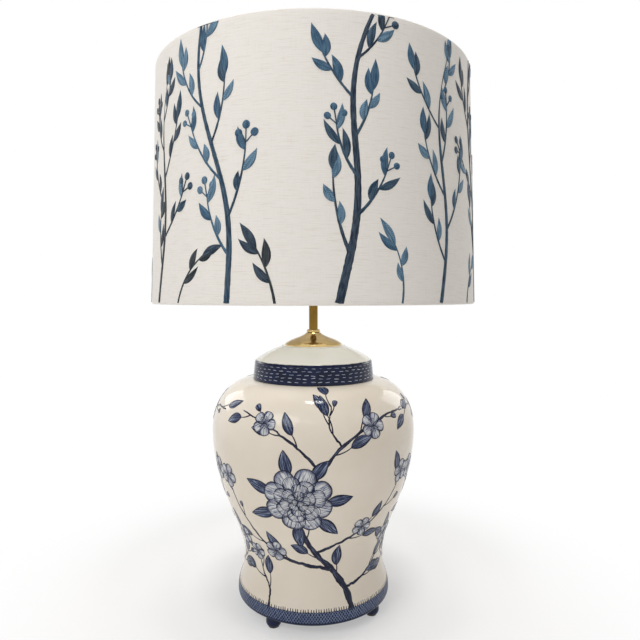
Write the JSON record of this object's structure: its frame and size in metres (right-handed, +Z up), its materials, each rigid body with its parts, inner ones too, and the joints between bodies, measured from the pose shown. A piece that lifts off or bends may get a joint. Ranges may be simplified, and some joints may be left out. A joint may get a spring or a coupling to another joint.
{
  "type": "ginger jar table lamp",
  "caption": "Table lamp: glazed ginger jar with cap lid on bun feet, brass cap and tube, harp, socket and bulb under an embroidered linen drum shade.",
  "frame": {"origin": "centre of the lamp on the surface that its felt pads stand on", "axes": "+Z up along the jar, pipe and shade; -Y towards the viewer's side; harp in the X-Z plane; flex inlet at +Y"},
  "size_m": [0.406, 0.4059, 0.6946],
  "materials": {
    "cream_glaze": "cream gloss glaze with cobalt brushwork; navy bands",
    "blue_glaze": "navy gloss glaze",
    "felt": "brown felt",
    "black_plastic": "moulded, satin",
    "threaded_steel": "zinc plated",
    "black_rubber": "matt",
    "polished_brass": "polished and lacquered",
    "plated_brass": "brass plated, satin",
    "fibre_card": "pressed fibre card",
    "moulded_core": "thermoset moulding",
    "contact_metal": "stamped brass",
    "bulb_cap_metal": "rolled thread",
    "black_insulator": "black glass",
    "frosted_glass": "inside frosted",
    "enamelled_wire": "white enamel",
    "shade_liner": "white styrene, satin",
    "embroidered_linen": "oatmeal linen with blue embroidery, rolled edges"
  },
  "bodies": {
    "root": {"bun_feet": "blue_glaze", "felt_pads": "felt", "jar_body": "cream_glaze", "cord_bushing": "black_plastic", "jar_lid": "cream_glaze", "lamp_pipe": "threaded_steel", "rubber_washer": "black_rubber", "steel_washer": "threaded_steel", "pipe_nut": "threaded_steel", "vase_cap": "polished_brass", "check_ring": "polished_brass", "neck_tube": "polished_brass", "harp_saddle": "plated_brass", "socket_cap": "plated_brass", "cap_set_screw": "threaded_steel", "socket_shell": "plated_brass", "shell_insulator": "fibre_card", "socket_core": "moulded_core", "screw_shell": "contact_metal", "centre_contact": "contact_metal", "terminal_screws": "threaded_steel"},
    "harp": {"harp": "plated_brass"},
    "sleeve_left": {"sleeve_left": "plated_brass"},
    "sleeve_right": {"sleeve_right": "plated_brass"},
    "swivel": {"swivel_stud": "polished_brass"},
    "shade": {"spider": "enamelled_wire", "top_ring": "enamelled_wire", "bottom_ring": "enamelled_wire", "shade_liner": "shade_liner", "shade_fabric": "embroidered_linen"},
    "finial": {"finial": "polished_brass"},
    "bulb": {"bulb_base": "bulb_cap_metal", "bulb_insulator": "black_insulator", "bulb_tip": "bulb_cap_metal", "bulb_glass": "frosted_glass"},
    "switch": {"switch_spindle": "threaded_steel", "switch_knob": "black_plastic"}
  },
  "joints": [
    {"name": "harp_lift", "type": "slide", "parent": "root", "child": "harp", "axis": [0, 0, 1], "range_m": [0, 0.02]},
    {"name": "sleeve_left_slide", "type": "slide", "parent": "harp", "child": "sleeve_left", "axis": [0, 0, 1], "range_m": [0, 0.012]},
    {"name": "sleeve_right_slide", "type": "slide", "parent": "harp", "child": "sleeve_right", "axis": [0, 0, 1], "range_m": [0, 0.012]},
    {"name": "swivel_turn", "type": "hinge", "parent": "harp", "child": "swivel", "pos_m": [0, 0, 0.658], "axis": [0, 0, 1], "continuous": true},
    {"name": "shade_lift", "type": "slide", "parent": "swivel", "child": "shade", "axis": [0, 0, 1], "range_m": [0, 0.3]},
    {"name": "finial_lift", "type": "slide", "parent": "shade", "child": "finial", "axis": [0, 0, 1], "range_m": [0, 0.03]},
    {"name": "bulb_lift", "type": "slide", "parent": "root", "child": "bulb", "axis": [0, 0, 1], "range_m": [0, 0.027]},
    {"name": "switch_turn", "type": "hinge", "parent": "root", "child": "switch", "pos_m": [0, 0, 0.433], "axis": [0, -1, 0], "continuous": true}
  ]
}
